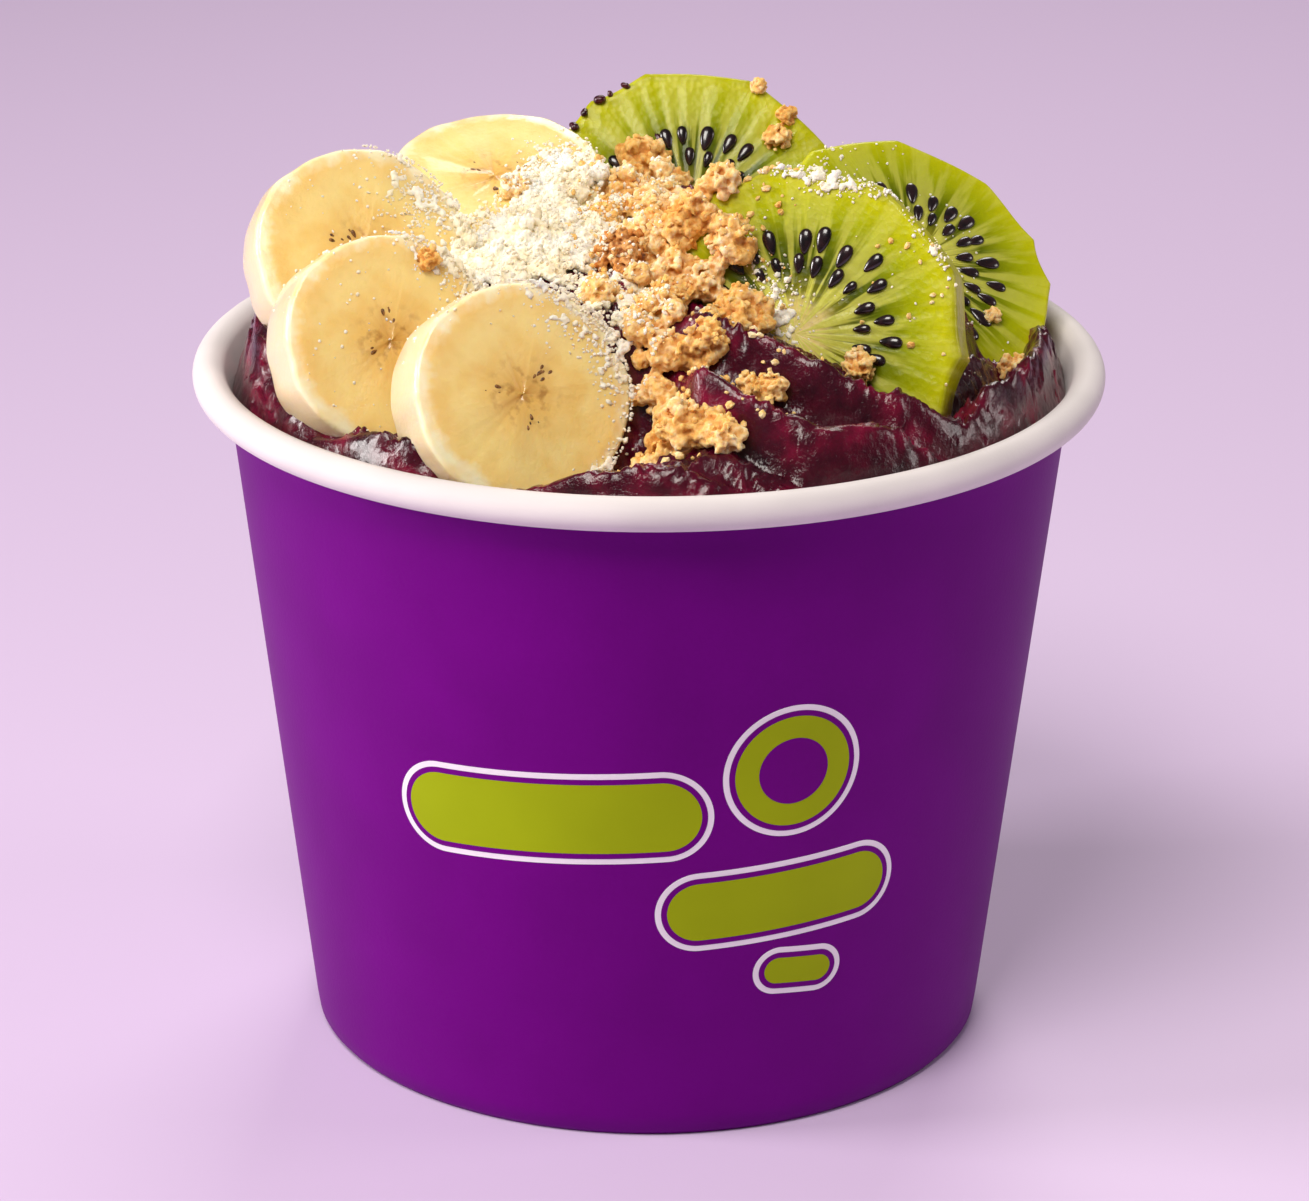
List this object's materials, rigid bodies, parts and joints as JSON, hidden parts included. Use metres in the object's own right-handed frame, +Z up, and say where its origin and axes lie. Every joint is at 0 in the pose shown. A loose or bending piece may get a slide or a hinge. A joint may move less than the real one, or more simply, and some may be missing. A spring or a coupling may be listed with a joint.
{
  "type": "acai bowl",
  "caption": "Purple paper tub with a rolled white rim, heaped with frozen acai and topped with banana slices, kiwi slices, milk powder and crumble.",
  "frame": {"origin": "middle of the tub's foot, on the surface it stands on", "axes": "+Z up through the tub, -Y towards the serving side where the banana is on the left and the kiwi on the right"},
  "size_m": [0.116, 0.116, 0.1172],
  "materials": {
    "printed_paper": "satin printed board",
    "coated_paper": "satin white coated board",
    "acai": "wet, glossy frozen puree",
    "banana": "moist cut fruit",
    "kiwi": "wet cut fruit",
    "crumble": "dry baked crumble",
    "milk_powder": "matt powder"
  },
  "bodies": {
    "root": {"cup_wall": "printed_paper", "cup_base": "coated_paper", "acai": "acai", "banana_1": "banana", "banana_2": "banana", "banana_3": "banana", "banana_4": "banana", "kiwi_1": "kiwi", "kiwi_2": "kiwi", "kiwi_3": "kiwi", "crumble_heap": "crumble", "crumble_front": "crumble", "crumb_1": "crumble", "crumb_2": "crumble", "crumb_3": "crumble", "powder_heap": "milk_powder"}
  },
  "joints": []
}
